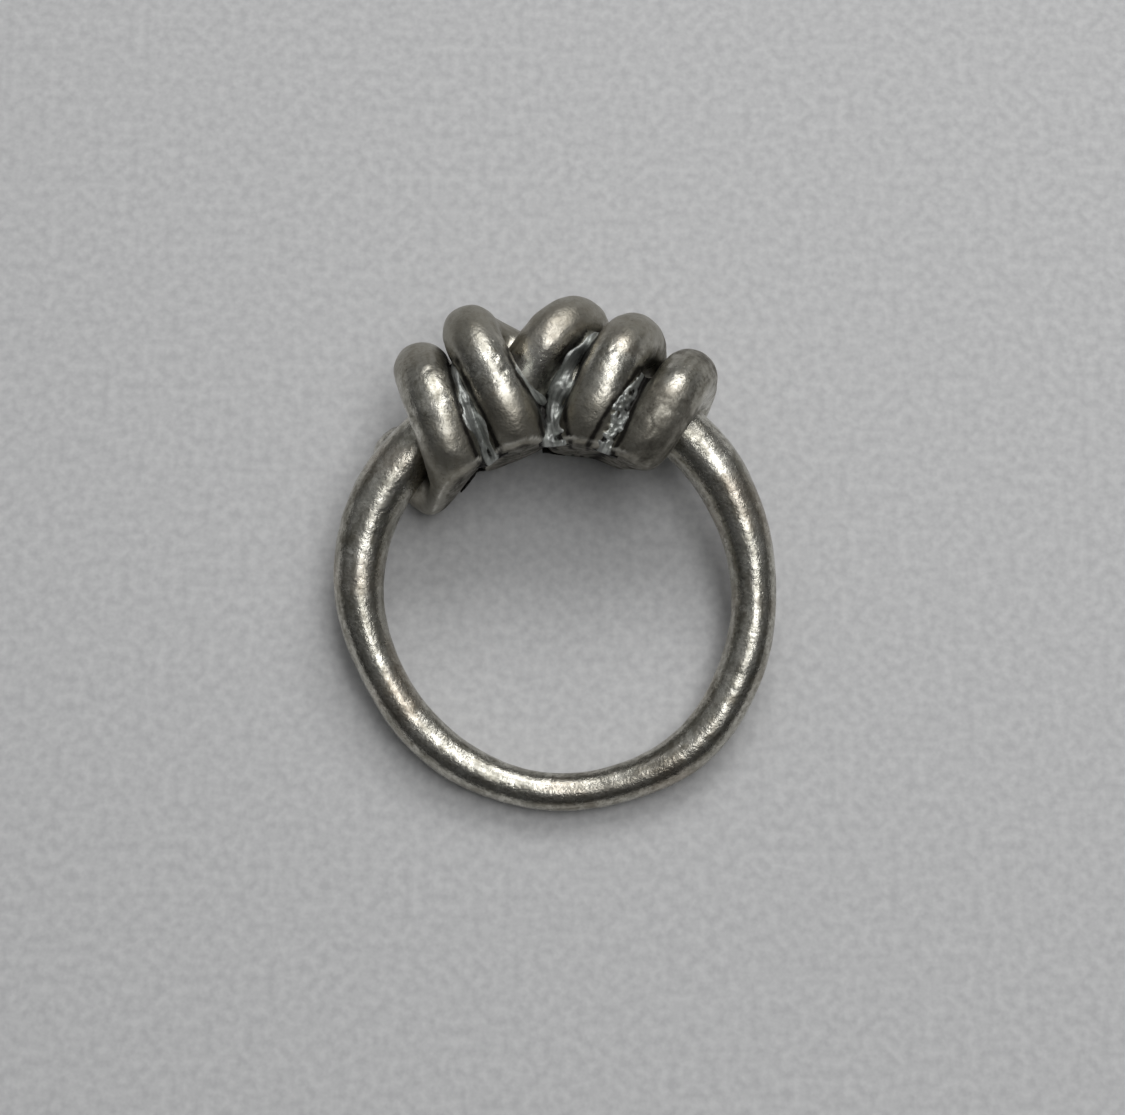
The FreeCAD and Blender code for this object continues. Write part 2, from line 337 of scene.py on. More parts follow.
def worn_lips(grid):
    """The skin with its filed lips worn round, the more the nearer they are to the finger."""
    from_axis = np.hypot(grid[..., 0], grid[..., 1])
    aside = np.abs(np.degrees(np.arctan2(grid[..., 1], grid[..., 0])) - KNOT_MIDDLE)
    tip = np.clip((aside - TIP_START) / TIP_FADE, 0.0, 1.0)
    reach = LIP_REACH + (TIP_REACH - LIP_REACH) * tip
    amount = np.clip((FILED_RADIUS + reach - from_axis) / reach, 0.0, 1.0)
    amount *= MIDDLE_WEAR + (1 - MIDDLE_WEAR) * tip
    amount[shank_start - 1:shank_end + 1] = 0.0
    amount[[0, -1]] = 0.0
    for _ in range(LIP_ROUNDS):
        around = (np.roll(grid, 1, axis=1) + np.roll(grid, -1, axis=1)) / 2
        along = grid.copy()
        along[1:-1] = (grid[:-2] + grid[2:]) / 2
        grid = grid + 0.5 * amount[..., None] * ((around + along) / 2 - grid)
    return grid


def grid_normals(grid):
    """Outward directions of a grid of points that closes on itself round each ring."""
    along = np.gradient(grid, axis=0)
    around = np.roll(grid, -1, axis=1) - np.roll(grid, 1, axis=1)
    directions = np.cross(around, along)
    directions /= np.linalg.norm(directions, axis=2)[:, :, None] + 1e-12
    outward = grid - centre[:, None]
    facing = np.sign((directions * outward).sum(axis=(1, 2)))
    return directions * facing[:, None, None]


rings, gaps = skin()
rings = worn_lips(rings)
normals = grid_normals(rings)

# ---------------------------------------------------------------------------------------------------------
# From the ring's plane to the row's frame
# ---------------------------------------------------------------------------------------------------------

mount = frame["record"]["mounts"][0]
ring_centre = np.array(mount["pos_m"])
finger_axis = np.array(mount["axis"]) / np.linalg.norm(mount["axis"])
sideways = np.array([1.0, 0.0, 0.0])
knotwards = np.cross(finger_axis, sideways)
TO_ROW = np.stack([sideways, knotwards, finger_axis])


def in_row(points):
    """Points of the ring's plane frame, in metres in the row's frame."""
    return points @ TO_ROW * MM + ring_centre


def direction_in_row(vector):
    return Vector(np.asarray(vector, dtype=float) @ TO_ROW)


# ---------------------------------------------------------------------------------------------------------
# Materials
# ---------------------------------------------------------------------------------------------------------

# Tints from dull to bright, each with the height of the noise that it stands at.
SILVER_TINTS = [(0.32, (0.31, 0.30, 0.255)), (0.50, (0.56, 0.545, 0.48)), (0.68, (0.80, 0.785, 0.715))]
SOLDER_TINTS = [(0.32, (0.46, 0.48, 0.455)), (0.50, (0.64, 0.66, 0.63)), (0.70, (0.81, 0.83, 0.79))]
FLOOR_TINTS = [(0.30, (0.57, 0.57, 0.575)), (0.70, (0.70, 0.70, 0.70))]
OLIVE_MOTTLE = (0.21, 0.195, 0.155)
DARK_SPECK = (0.15, 0.14, 0.115)
PALE_STREAK = (0.72, 0.70, 0.635)
BROWN_STAIN = (0.33, 0.26, 0.195)
DULL_SILVER = (0.32, 0.30, 0.25)
PIT_DIRT = (0.06, 0.054, 0.045)
# black for the tarnish in the grooves and for the painted shade on the filed finger side
BLACK_TARNISH_AND_SHADE = (0.034, 0.031, 0.027)
# lighter colour of the lips' rims: part wear, part painted highlight
WORN_RIM_HIGHLIGHT = (0.86, 0.84, 0.77)
DARK_FIBRE = (0.24, 0.245, 0.24)
SOLDER_DARKEST = (0.026, 0.024, 0.022)
NO_COLOUR = (0.0, 0.0, 0.0)


class Nodes:
    """Short ways to add shader nodes to one material."""

    def __init__(self, name):
        self.material = bpy.data.materials.new(name)
        self.material.use_nodes = True
        self.tree = self.material.node_tree
        self.shader = self.tree.nodes["Principled BSDF"]
        self.coordinates = self.add("ShaderNodeTexCoord").outputs["Object"]

    def add(self, kind, **inputs):
        node = self.tree.nodes.new(kind)
        for key, value in inputs.items():
            self.put(node.inputs[key.replace("_", " ")], value)
        return node

    def put(self, socket, value):
        """Links a node's output to a socket, or sets the socket to a number or an opaque colour."""
        if isinstance(value, bpy.types.NodeSocket):
            self.tree.links.new(value, socket)
        else:
            socket.default_value = (*value, 1.0) if isinstance(value, tuple) else value

    def noise(self, size_mm, detail=3.0, roughness=0.5, distortion=0.0):
        node = self.add("ShaderNodeTexNoise", Vector=self.coordinates, Scale=1.0 / (size_mm * MM),
                        Detail=detail, Roughness=roughness, Distortion=distortion)
        return node.outputs["Fac"]

    def streaks(self, size_mm, detail):
        """Noise drawn out along the wire or the groove."""
        place = self.add("ShaderNodeAttribute")
        place.attribute_name = "lengthwise"
        node = self.add("ShaderNodeTexNoise", Vector=place.outputs["Vector"], Scale=1.0 / size_mm,
                        Detail=detail)
        return node.outputs["Fac"]

    def cells(self, size_mm):
        node = self.add("ShaderNodeTexVoronoi", Vector=self.coordinates, Scale=1.0 / (size_mm * MM))
        return node.outputs["Distance"]

    def ramp(self, factor, *stops):
        """A colour ramp: each stop is a place and its grey value or colour."""
        node = self.add("ShaderNodeValToRGB", Fac=factor)
        elements = node.color_ramp.elements
        while len(elements) < len(stops):
            elements.new(0.5)
        for element, (place, value) in zip(elements, stops):
            element.position = place
            element.color = (*value, 1.0) if isinstance(value, tuple) else (value, value, value, 1.0)
        return node.outputs["Color"]

    def mix(self, factor, first, second):
        node = self.add("ShaderNodeMix")
        node.data_type = "RGBA"
        self.put(node.inputs["Factor"], factor)
        self.put(node.inputs["A"], first)
        self.put(node.inputs["B"], second)
        return node.outputs["Result"]

    def math(self, operation, first, second):
        node = self.add("ShaderNodeMath")
        node.operation = operation
        self.put(node.inputs[0], first)
        self.put(node.inputs[1], second)
        return node.outputs["Value"]

    def times(self, first, second):
        return self.math("MULTIPLY", first, second)

    def plus(self, first, second):
        return self.math("ADD", first, second)

    def varied(self, value, noise, amount):
        """The value, more or less by how far a noise is from its middle."""
        return self.plus(value, self.times(self.math("SUBTRACT", noise, 0.5), amount))

    def attribute(self, name):
        node = self.add("ShaderNodeAttribute")
        node.attribute_name = name
        return node.outputs["Fac"]

    def bump(self, height, strength, distance_mm, normal=None):
        node = self.add("ShaderNodeBump", Height=height, Strength=strength, Distance=distance_mm * MM)
        if normal is not None:
            self.put(node.inputs["Normal"], normal)
        return node.outputs["Normal"]


def aged_silver():
    """Worn silver: bright warm metal on the high places, tarnished brown-black in grooves and pits, painted
    shade on the filed finger side, and painted highlights on the lips' worn rims and the front crossing.
    """
    n = Nodes("aged_silver")
    groove = n.attribute("groove")
    dull = n.attribute("dull")
    clouds = n.noise(2.4, detail=5.0, roughness=0.62, distortion=0.6)
    stain = n.noise(4.6, detail=3.0, roughness=0.5, distortion=0.4)
    mottle = n.noise(0.55, detail=5.0, roughness=0.62)
    streaks = n.streaks(0.42, detail=4.0)
    specks = n.noise(0.17, detail=3.0, roughness=0.6)
    pits = n.cells(0.34)

    worn = n.mix(n.ramp(mottle, (0.42, 0.0), (0.62, 0.80)), n.ramp(clouds, *SILVER_TINTS), OLIVE_MOTTLE)
    worn = n.mix(n.ramp(specks, (0.47, 0.0), (0.64, 0.60)), worn, DARK_SPECK)
    worn = n.mix(n.ramp(streaks, (0.42, 0.0), (0.66, 0.50)), worn, PALE_STREAK)
    worn = n.mix(n.ramp(stain, (0.52, 0.0), (0.68, 0.40)), worn, BROWN_STAIN)
    # a darker tint towards the crown and the foot of each turn
    worn = n.mix(n.times(dull, 0.75), worn, DULL_SILVER)
    freckle = n.ramp(pits, (0.06, 1.0), (0.16, 0.0))
    freckle = n.mix(n.ramp(clouds, (0.42, 0.0), (0.56, 1.0)), NO_COLOUR, freckle)
    dirty = n.mix(n.times(freckle, 0.55), worn, PIT_DIRT)
    # the groove value holds tarnish where turns meet and painted shade on the filed finger side; both darken
    # towards black here
    tarnish_and_shade = n.varied(n.varied(groove, mottle, 0.75), streaks, -0.45)
    tarnish_and_shade = n.ramp(tarnish_and_shade, (0.24, 0.0), (0.80, 1.0))
    # lighter on the lips' rims, part wear and part painted highlight, and on the front crossing's painted
    # highlight
    rim = n.times(n.attribute("rim"), n.ramp(streaks, (0.34, 0.25), (0.50, 1.0)))
    n.put(n.shader.inputs["Base Color"], n.mix(rim, n.mix(tarnish_and_shade, dirty, BLACK_TARNISH_AND_SHADE), WORN_RIM_HIGHLIGHT))

    gloss = n.plus(n.times(mottle, 0.34), 0.15)
    gloss = n.plus(gloss, n.times(dull, 0.16))
    gloss = n.plus(gloss, n.times(streaks, -0.08))
    n.put(n.shader.inputs["Roughness"], n.plus(gloss, n.times(tarnish_and_shade, 0.30)))
    n.shader.inputs["Metallic"].default_value = 1.0

    normal = n.bump(mottle, 0.60, 0.055)
    normal = n.bump(streaks, 0.22, 0.03, normal)
    normal = n.bump(specks, 0.68, 0.032, normal)
    normal = n.bump(n.ramp(pits, (0.05, 0.0), (0.20, 1.0)), 0.30, 0.02, normal)
    n.put(n.shader.inputs["Normal"], normal)
    return n.material


def old_solder():
    """Grey solder, pitted and drawn out along its groove, painted darker at its sides and in its hollows."""
    n = Nodes("old_solder")
    clouds = n.noise(1.1, detail=5.0, roughness=0.6, distortion=0.5)
    fibres = n.streaks(0.20, detail=5.0)
    grit = n.noise(0.16, detail=4.0, roughness=0.6)
    drawn = n.mix(n.ramp(fibres, (0.46, 0.0), (0.62, 0.70)), n.ramp(clouds, *SOLDER_TINTS), DARK_FIBRE)
    # painted darker towards the sides of the ridge, in its hollows and in its pits
    darkening = n.ramp(n.varied(n.attribute("groove"), grit, 0.6), (0.50, 0.0), (0.95, 1.0))
    n.put(n.shader.inputs["Base Color"], n.mix(darkening, drawn, SOLDER_DARKEST))
    n.put(n.shader.inputs["Roughness"], n.plus(n.times(grit, 0.35), 0.38))
    n.shader.inputs["Metallic"].default_value = 0.8
    normal = n.bump(fibres, 0.8, 0.08)
    n.put(n.shader.inputs["Normal"], n.bump(grit, 0.60, 0.035, normal))
    return n.material


silver = aged_silver()
solder = old_solder()

# ---------------------------------------------------------------------------------------------------------
# Pieces
# ---------------------------------------------------------------------------------------------------------

DRAWN_OUT = 5.0        # how much longer than wide the streaks are


def add_piece(name, node, points, faces, values, lengthwise, material, point_normals=None):
    """A piece that stands for a CAD node. Its values and lengthwise places are for its material."""
    mesh = bpy.data.meshes.new(name)
    mesh.from_pydata(in_row(points).tolist(), [], faces)
    mesh.validate()
    for polygon in mesh.polygons:
        polygon.use_smooth = True
    for label, amounts in values.items():
        layer = mesh.attributes.new(label, "FLOAT", "POINT")
        layer.data.foreach_set("value", np.asarray(amounts, dtype=np.float32))
    drawn = mesh.attributes.new("lengthwise", "FLOAT_VECTOR", "POINT")
    drawn.data.foreach_set("vector", np.asarray(lengthwise, dtype=np.float32).ravel())
    if point_normals is not None:
        mesh.normals_split_custom_set_from_vertices((point_normals @ TO_ROW).tolist())
    mesh.materials.append(material)
    piece = bpy.data.objects.new(name, mesh)
    bpy.context.scene.collection.objects.link(piece)
    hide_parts(node)
    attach(piece, "root")


# ---------------------------------------------------------------------------------------------------------
# Solder in the grooves
# ---------------------------------------------------------------------------------------------------------

# Each fill is one or more runs: the middle line as (angle, radius) from the finger side outward, the half
# width of its ridge, how high the ridge stands and how broken up it is. A curl is a pit with a raised rim:
# angle, radius, half length, half width, height of the rim and depth.
FRONT, REAR = 1, -1
SOLDER = {
    "front_left_solder": {
        "face": FRONT,
        "runs": [
            {"line": [(116.9, 7.0), (115.9, 9.6), (114.8, 12.2)],
             "ridge": 0.40, "height": 0.22, "broken": 0.02},
        ],
        "curls": [
            (116.2, 7.50, 0.40, 0.16, 0.08, 0.10), (117.8, 9.9, 0.42, 0.10, 0.02, 0.10),
            (117.2, 10.9, 0.34, 0.09, 0.02, 0.10),
        ],
    },
    "front_fork_solder": {
        "face": FRONT,
        "runs": [
            {"line": [(89.6, 7.0), (91.4, 9.0), (87.0, 10.9), (81.6, 13.0)],
             "ridge": 0.46, "height": 0.30, "broken": 0.02},
            {"line": [(93.4, 9.3), (98.9, 10.5), (100.9, 11.8)],
             "ridge": 0.25, "height": 0.18, "broken": 0.02},
        ],
        "curls": [(89.3, 7.42, 0.26, 0.40, 0.12, 0.14)],
    },
    "front_right_solder": {
        "face": FRONT,
        "runs": [
            {"line": [(72.9, 7.0), (70.2, 9.2), (68.4, 11.4)],
             "ridge": 0.46, "height": 0.16, "broken": 0.10},
        ],
        "curls": [
            (69.2, 10.2, 0.26, 0.14, 0.05, 0.14), (70.6, 8.9, 0.30, 0.12, 0.05, 0.14),
            (72.6, 7.6, 0.20, 0.26, 0.08, 0.10),
        ],
    },
    "rear_left_solder": {
        "face": REAR,
        "runs": [
            {"line": [(126.0, 7.1), (127.2, 9.3), (128.0, 11.2)],
             "ridge": 0.42, "height": 0.10, "broken": 0.03},
        ],
        "curls": [(126.6, 9.0, 0.34, 0.16, 0.04, 0.16)],
    },
    "rear_fork_solder": {
        "face": REAR,
        "runs": [
            {"line": [(88.5, 7.0), (90.5, 9.2), (94.0, 10.5), (96.4, 11.5)],
             "ridge": 0.48, "height": 0.12, "broken": 0.03},
        ],
        "curls": [(89.4, 8.1, 0.34, 0.20, 0.06, 0.20)],
    },
    "rear_right_solder": {
        "face": REAR,
        "runs": [
            {"line": [(75.3, 7.1), (76.2, 9.3), (76.6, 12.0)],
             "ridge": 0.42, "height": 0.08, "broken": 0.05},
        ],
        "curls": [(76.0, 10.2, 0.40, 0.16, 0.05, 0.20)],
    },
}
BRIDGE = 0.62          # how widely the solder's own skin bridges two turns
SOLDER_NEARBY = 6.5    # wire further off than this from the middle of a run doesn't shape it
START_LEVEL = 4.6      # from the ring's plane, where the search for the skin starts
LEVEL_LIMITS = (0.2, 4.8)
LEVEL_STEPS = (-0.3, 0.6)  # the most that the search goes outward and inward at once
LEVEL_ROUNDS = 11
RUN_WIDTH = 1.8        # of the strip of skin that a run is made from; its sides dip into the turns
SIDE_SINK = 0.34       # how far those sides dip
END_SINK = 0.5         # how far its ends dip, over this length, which is shorter at the finger side
END_LENGTH = 1.2
INNER_END = 2.6
RUN_ROWS, RUN_COLUMNS = 120, 36
RUN_DEPTH = 0.45       # from the skin down to the underside of a run
OUTER_SHARE = 0.40     # of its full width that a run still has at the outside of the knot
TAPER_LENGTH = 3.0
SWAY = ((0.10, 1.3), (0.05, 3.1))   # how a ridge wanders aside and how its width changes: two waves each
SWELL = ((0.22, 1.9), (0.12, 4.3))
CREST_POWER = 2.6      # how flat the ridge's top and how steep its sides are
FIBRE_HEIGHT = 0.040   # of the fibres along the ridge, and of the lumps where it is wholly broken up
BREAK_HEIGHT = 0.6
SIDE_DARKENING = 1.25       # how dark the sides and the hollows of the ridge are
HOLLOW_DARKENING = 5.0
PIT_SIZE = 0.80        # of a curl's pit and of the rim round it, where 1 is the curl's half width
COLLAR_PLACE = 1.25
COLLAR_WIDTH = 0.34
PIT_DARK = 0.85        # how much darker the pit is painted, and how much of that its rim loses
COLLAR_LIGHTENING = 0.6

solder_lumps = Ripple(21, 0.45, 1.2)
solder_bits = Ripple(27, 0.22, 0.5)
solder_fibres = Ripple(31, 0.20, 0.5)
strand_lines = [(centre[first:last + 1], radius[first:last + 1]) for first, last in NODE_SPANS.values()]


def melted_field(points, width):
    """Distance above the turns' common skin, where they run together over that width."""
    halfway_in = points.mean(axis=0) * [1.0, 1.0, 0.5]
    field = np.full(len(points), FAR)
    for line, radii in strand_lines:
        near = np.linalg.norm(line - halfway_in, axis=1) < SOLDER_NEARBY
        if near.any():
            gap = np.linalg.norm(points[:, None] - line[near][None, ::2], axis=2) - radii[near][::2]
            field = smooth_min(field, gap.min(axis=1), width)
    return field


def run_path(line):
    """Evenly spaced points along a run's middle line and how far along each is."""
    spots = np.array([polar(angle, reach) for angle, reach in line])
    lengths = np.concatenate([[0.0], np.cumsum(np.linalg.norm(np.diff(spots, axis=0), axis=1))])
    along = np.linspace(0.0, lengths[-1], RUN_ROWS)
    return np.stack([smooth_curve(along, lengths, spots[:, axis]) for axis in range(3)], axis=1), along


def taper(along):
    """How much of its full width a run has at each place: it thins out towards the outside of the knot."""
    return OUTER_SHARE + (1 - OUTER_SHARE) * np.clip((along[-1] - along) / TAPER_LENGTH, 0.0, 1.0)


def wander(place, start, slow, quick):
    """A slow and a quick wave along a run, each given by its height and its radians a millimetre."""
    return slow[0] * np.sin(place * slow[1] + start) + quick[0] * np.sin(place * quick[1])


def run_plan(face, path, across):
    """Points of a strip of the turns' common skin along a run, their level and how far aside they are."""
    spread = np.linspace(-0.5, 0.5, RUN_COLUMNS) * RUN_WIDTH
    plan = (path[:, None] + across[:, None] * spread[None, :, None]).reshape(-1, 3)
    level = np.full(len(plan), START_LEVEL)
    for _ in range(LEVEL_ROUNDS):
        plan[:, 2] = face * level
        level = np.clip(level - np.clip(melted_field(plan, BRIDGE), *LEVEL_STEPS), *LEVEL_LIMITS)
    plan[:, 2] = face * level
    return plan, level, np.tile(spread, RUN_ROWS)


def curl_shape(plan, heading, across, angle, reach, half_length, half_width):
    """How much each point is in a curl's pit and how much on its raised rim."""
    offset = (plan - polar(angle, reach))[:, :2]
    lengthways = (offset * np.repeat(heading[:, :2], RUN_COLUMNS, axis=0)).sum(axis=1) / half_length
    crossways = (offset * np.repeat(across[:, :2], RUN_COLUMNS, axis=0)).sum(axis=1) / half_width
    distance = np.hypot(lengthways, crossways)
    return np.exp(-((distance / PIT_SIZE) ** 4)), np.exp(-(((distance - COLLAR_PLACE) / COLLAR_WIDTH) ** 2))


def run_of_solder(face, curls, line, ridge, height, broken):
    """One run: its points, faces, darkening and lengthwise places."""
    path, along = run_path(line)
    start = line[0][0]
    heading = np.gradient(path, axis=0)
    heading /= np.linalg.norm(heading, axis=1)[:, None]
    across = np.stack([-heading[:, 1], heading[:, 0], np.zeros(RUN_ROWS)], axis=1)
    plan, level, aside = run_plan(face, path, across)
    place = np.repeat(along, RUN_COLUMNS)
    drawn = np.stack([place / DRAWN_OUT, aside, np.full(len(place), float(face) + start)], axis=1)
    half_width = np.repeat(taper(along), RUN_COLUMNS) * ridge * (1 + wander(place, start, *SWELL))
    crest = np.exp(-(np.abs((aside - wander(place, start, *SWAY)) / half_width) ** CREST_POWER))
    rough = FIBRE_HEIGHT * solder_fibres(drawn)
    rough += broken * BREAK_HEIGHT * (solder_lumps(plan) + solder_bits(plan))
    ends = np.clip(1 - np.minimum(INNER_END * place, along[-1] - place) / END_LENGTH, 0, 1) ** 2
    lift = (height + rough) * crest - SIDE_SINK * (1 - crest) - END_SINK * ends
    darkening = np.clip(SIDE_DARKENING * (1 - crest) - HOLLOW_DARKENING * np.minimum(rough, 0.0) * crest, 0.0, 1.0)
    for angle, reach, half_length, half_curl, rim, depth in curls:
        pit, collar = curl_shape(plan, heading, across, angle, reach, half_length, half_curl)
        lift += rim * collar - depth * pit
        darkening = np.clip(darkening + PIT_DARK * pit - COLLAR_LIGHTENING * collar, 0.0, 1.0)
    top = plan.copy()
    top[:, 2] = face * (level + lift)
    bottom = plan.copy()
    bottom[:, 2] = face * (level - RUN_DEPTH)
    for part in (top, bottom):
        from_axis = np.hypot(part[:, 0], part[:, 1])
        part[:, :2] *= (np.maximum(from_axis, FILED_RADIUS) / from_axis)[:, None]
    darkening = np.concatenate([darkening, np.ones(len(darkening))])
    return np.concatenate([top, bottom]), slab_faces(face), darkening, np.concatenate([drawn, drawn])


def slab_faces(face):
    """Faces of a slab made of a top and a bottom grid and a rim between them."""
    count = RUN_ROWS * RUN_COLUMNS
    faces = []
    for row in range(RUN_ROWS - 1):
        for column in range(RUN_COLUMNS - 1):
            corner = row * RUN_COLUMNS + column
            loop = (corner, corner + 1, corner + RUN_COLUMNS + 1, corner + RUN_COLUMNS)
            under = tuple(index + count for index in reversed(loop))
            faces += [loop, under]
    last = (RUN_ROWS - 1) * RUN_COLUMNS
    rim = [row * RUN_COLUMNS for row in range(RUN_ROWS)]
    rim += [last + column for column in range(1, RUN_COLUMNS)]
    rim += [row * RUN_COLUMNS + RUN_COLUMNS - 1 for row in range(RUN_ROWS - 2, -1, -1)]
    rim += list(range(RUN_COLUMNS - 2, 0, -1))
    faces += [(first, second, second + count, first + count) for first, second in zip(rim, rim[1:] + rim[:1])]
    return faces if face > 0 else [loop[::-1] for loop in faces]


def add_solder(node, face, runs, curls):
    """The piece for one fill: all its runs."""
    made = [run_of_solder(face, curls, **run) for run in runs]
    faces = []
    start = 0
    for points, loops, _, _ in made:
        faces += [tuple(index + start for index in loop) for loop in loops]
        start += len(points)
    points, _, darkening, drawn = map(list, zip(*made))
    values = {"groove": np.concatenate(darkening)}
    add_piece(f"{node}_fill", node, np.concatenate(points), faces, values, np.concatenate(drawn), solder)


for node, fill in SOLDER.items():
    add_solder(node, **fill)

# ---------------------------------------------------------------------------------------------------------
# The wire, one piece for each node
# ---------------------------------------------------------------------------------------------------------

TARNISH_REACH = 0.36   # how far the dark tarnish spreads from where turns meet, and on the crossing
CROSSING_TARNISH_REACH = 0.20
BESIDE_SOLDER = 0.85   # how dark the line beside a solder run is, its half width and its gap from the ridge
BESIDE_WIDTH = 0.19
BESIDE_GAP = 0.14
BESIDE_NEARBY = 4.5    # the wire is darkened only this near to a run's middle and this far to its face
BESIDE_LEVEL = 1.5
CROWN_START = 11.9     # radii outside and inside which the turns are duller, and how far on they are dullest
FOOT_START = 10.5
END_FOOT_START = 12.2  # the same for the right end turn, which is dull nearly all the way
DULL_DEPTH = 1.5
END_DARKENING = 0.42     # how much darker that dull stretch of the right end turn is painted
FILED_SHADE = 0.54   # how dark the filed finger side is painted, as painted shade
FILED_FACING = 0.84    # how squarely a surface has to face the finger's axis to count as filed
FILED_FADE = 0.12
FILED_BAND = 0.30      # and how near to the filed radius it has to be
RIM_LEAN = 0.55        # how far the bright rim of a lip, part wear and part painted highlight, leans towards the finger's axis
RIM_WIDTH = 0.16
RIM_BAND = 0.40
HIGHLIGHT_SPOT = (97.4, 11.4)  # angle and radius of the painted highlight on the low end of the front crossing
HIGHLIGHT_REACH = 1.0
HIGHLIGHT_LEVEL = 1.0   # only skin this far to the front gets the painted highlight
HIGHLIGHT_CLEARS = 0.8    # how much of the tarnish the painted highlight takes away, and how bright it is
HIGHLIGHT_SHINE = 0.9


def beside_solder(points):
    """How dark each point of the wire is for lying along the edge of a solder run."""
    dark = np.zeros(len(points))
    for fill in SOLDER.values():
        for run in fill["runs"]:
            path, lengths = run_path(run["line"])
            middle = path[len(path) // 2]
            near = np.linalg.norm(points[:, :2] - middle[:2], axis=1) < BESIDE_NEARBY
            near &= points[:, 2] * fill["face"] > BESIDE_LEVEL
            apart = np.linalg.norm(points[near][:, None, :2] - path[None, ::3, :2], axis=2)
            edge = (run["ridge"] + BESIDE_GAP) * taper(lengths)[::3][apart.argmin(axis=1)]
            line = BESIDE_SOLDER * np.exp(-(((apart.min(axis=1) - edge) / BESIDE_WIDTH) ** 2))
            dark[near] = np.maximum(dark[near], line)
    return dark


def strand_values(node, points, facing, gap):
    """How dark each point of a strand is from being tarnished and from painted shade, how dull it is, and how
    bright it is from worn rims and painted highlights.
    """
    reach = CROSSING_TARNISH_REACH if node == "front_crossing" else TARNISH_REACH
    groove = np.exp(-np.clip(gap, 0.0, FAR) / reach)
    groove = np.maximum(groove, beside_solder(points))
    if node == "shank":
        return {"groove": groove, "dull": np.zeros(len(points)), "rim": np.zeros(len(points))}
    from_axis = np.hypot(points[:, 0], points[:, 1])
    foot_start = END_FOOT_START if node == "right_end_turn" else FOOT_START
    dull = np.clip(np.maximum(from_axis - CROWN_START, foot_start - from_axis) / DULL_DEPTH, 0.0, 1.0)
    towards_axis = -(facing[:, :2] * points[:, :2]).sum(axis=1) / from_axis
    # painted shade: the filed finger side is darkened where it faces the finger's axis
    filed = np.clip((towards_axis - FILED_FACING) / FILED_FADE, 0.0, 1.0)
    filed *= from_axis < FILED_RADIUS + FILED_BAND
    # the lips' rims are painted lighter: part wear, part painted highlight
    rim = np.exp(-(((towards_axis - RIM_LEAN) / RIM_WIDTH) ** 2)) * (from_axis < FILED_RADIUS + RIM_BAND)
    # a painted highlight on the low end of the front crossing, which also clears its tarnish
    if node == "front_crossing":
        from_spot = np.linalg.norm(points[:, :2] - polar(*HIGHLIGHT_SPOT)[:2], axis=1)
        painted_highlight = np.exp(-((from_spot / HIGHLIGHT_REACH) ** 2)) * (points[:, 2] > HIGHLIGHT_LEVEL)
        groove *= 1 - HIGHLIGHT_CLEARS * painted_highlight
        rim = np.maximum(rim, HIGHLIGHT_SHINE * painted_highlight)
    # the right end turn's dull stretch is painted darker
    if node == "right_end_turn":
        groove = np.maximum(groove, END_DARKENING * dull)
    # the groove value also carries the painted shade of the filed finger side
    return {"groove": np.maximum(groove, FILED_SHADE * filed), "dull": np.maximum(dull, filed), "rim": rim}


def tube_faces(ring_count):
    """Faces of a tube made of rings of points, with a cap at each end."""
    faces = []
    for ring in range(ring_count - 1):
        for number in range(POINTS_ROUND):
            following = (number + 1) % POINTS_ROUND
            faces.append((
                ring * POINTS_ROUND + number, ring * POINTS_ROUND + following,
                (ring + 1) * POINTS_ROUND + following, (ring + 1) * POINTS_ROUND + number,
            ))
    last = (ring_count - 1) * POINTS_ROUND
    faces.append(tuple(range(POINTS_ROUND - 1, -1, -1)))
    faces.append(tuple(range(last, last + POINTS_ROUND)))
    return faces


def add_strand(node, first, last):
    """The stretch of the wire's skin that stands for one CAD node."""
    stretch = slice(first, last + 1)
    points = rings[stretch].reshape(-1, 3)
    facing = normals[stretch].reshape(-1, 3)
    values = strand_values(node, points, facing, gaps[stretch].ravel())
    turns = np.linspace(0, 2 * math.pi, POINTS_ROUND, endpoint=False)
    lengthwise = np.stack(np.broadcast_arrays(
        arc_length[stretch][:, None] / DRAWN_OUT, WIRE_RADIUS * np.cos(turns), WIRE_RADIUS * np.sin(turns),
    ), axis=2).reshape(-1, 3)
    faces = tube_faces(len(rings[stretch]))
    add_piece(f"{node}_wire", node, points, faces, values, lengthwise, silver, facing)


for node, (first, last) in NODE_SPANS.items():
    add_strand(node, first, last)

# ---------------------------------------------------------------------------------------------------------
# Floor, lights and camera
# ---------------------------------------------------------------------------------------------------------

FLOOR_SIZE = 1.2
LENS_DISTANCE = 130.0
SENSOR_WIDTH = 36.0
VIEW_WIDTH = 55.7
VIEW_CENTRE = (0.27, 1.73, 0.0)
VIEW_LEAN = 3.0
SKY_COLOUR = (0.97, 0.985, 1.0, 1.0)
SKY_HEIGHTS = (0.05, 1.0)    # from the horizon's brightness to the top's
SKY_HORIZON = 0.06
SKY_TOP = 0.28
SKY_DEPTHS = (-0.6, 0.8)     # from the viewer's side to behind the knot, with each one's share of brightness
VIEWER_SIDE_SKY = 0.40
KNOT_SIDE_SKY = 1.5
KEY_POWER = 0.33
OVERHEAD_POWER = 0.285


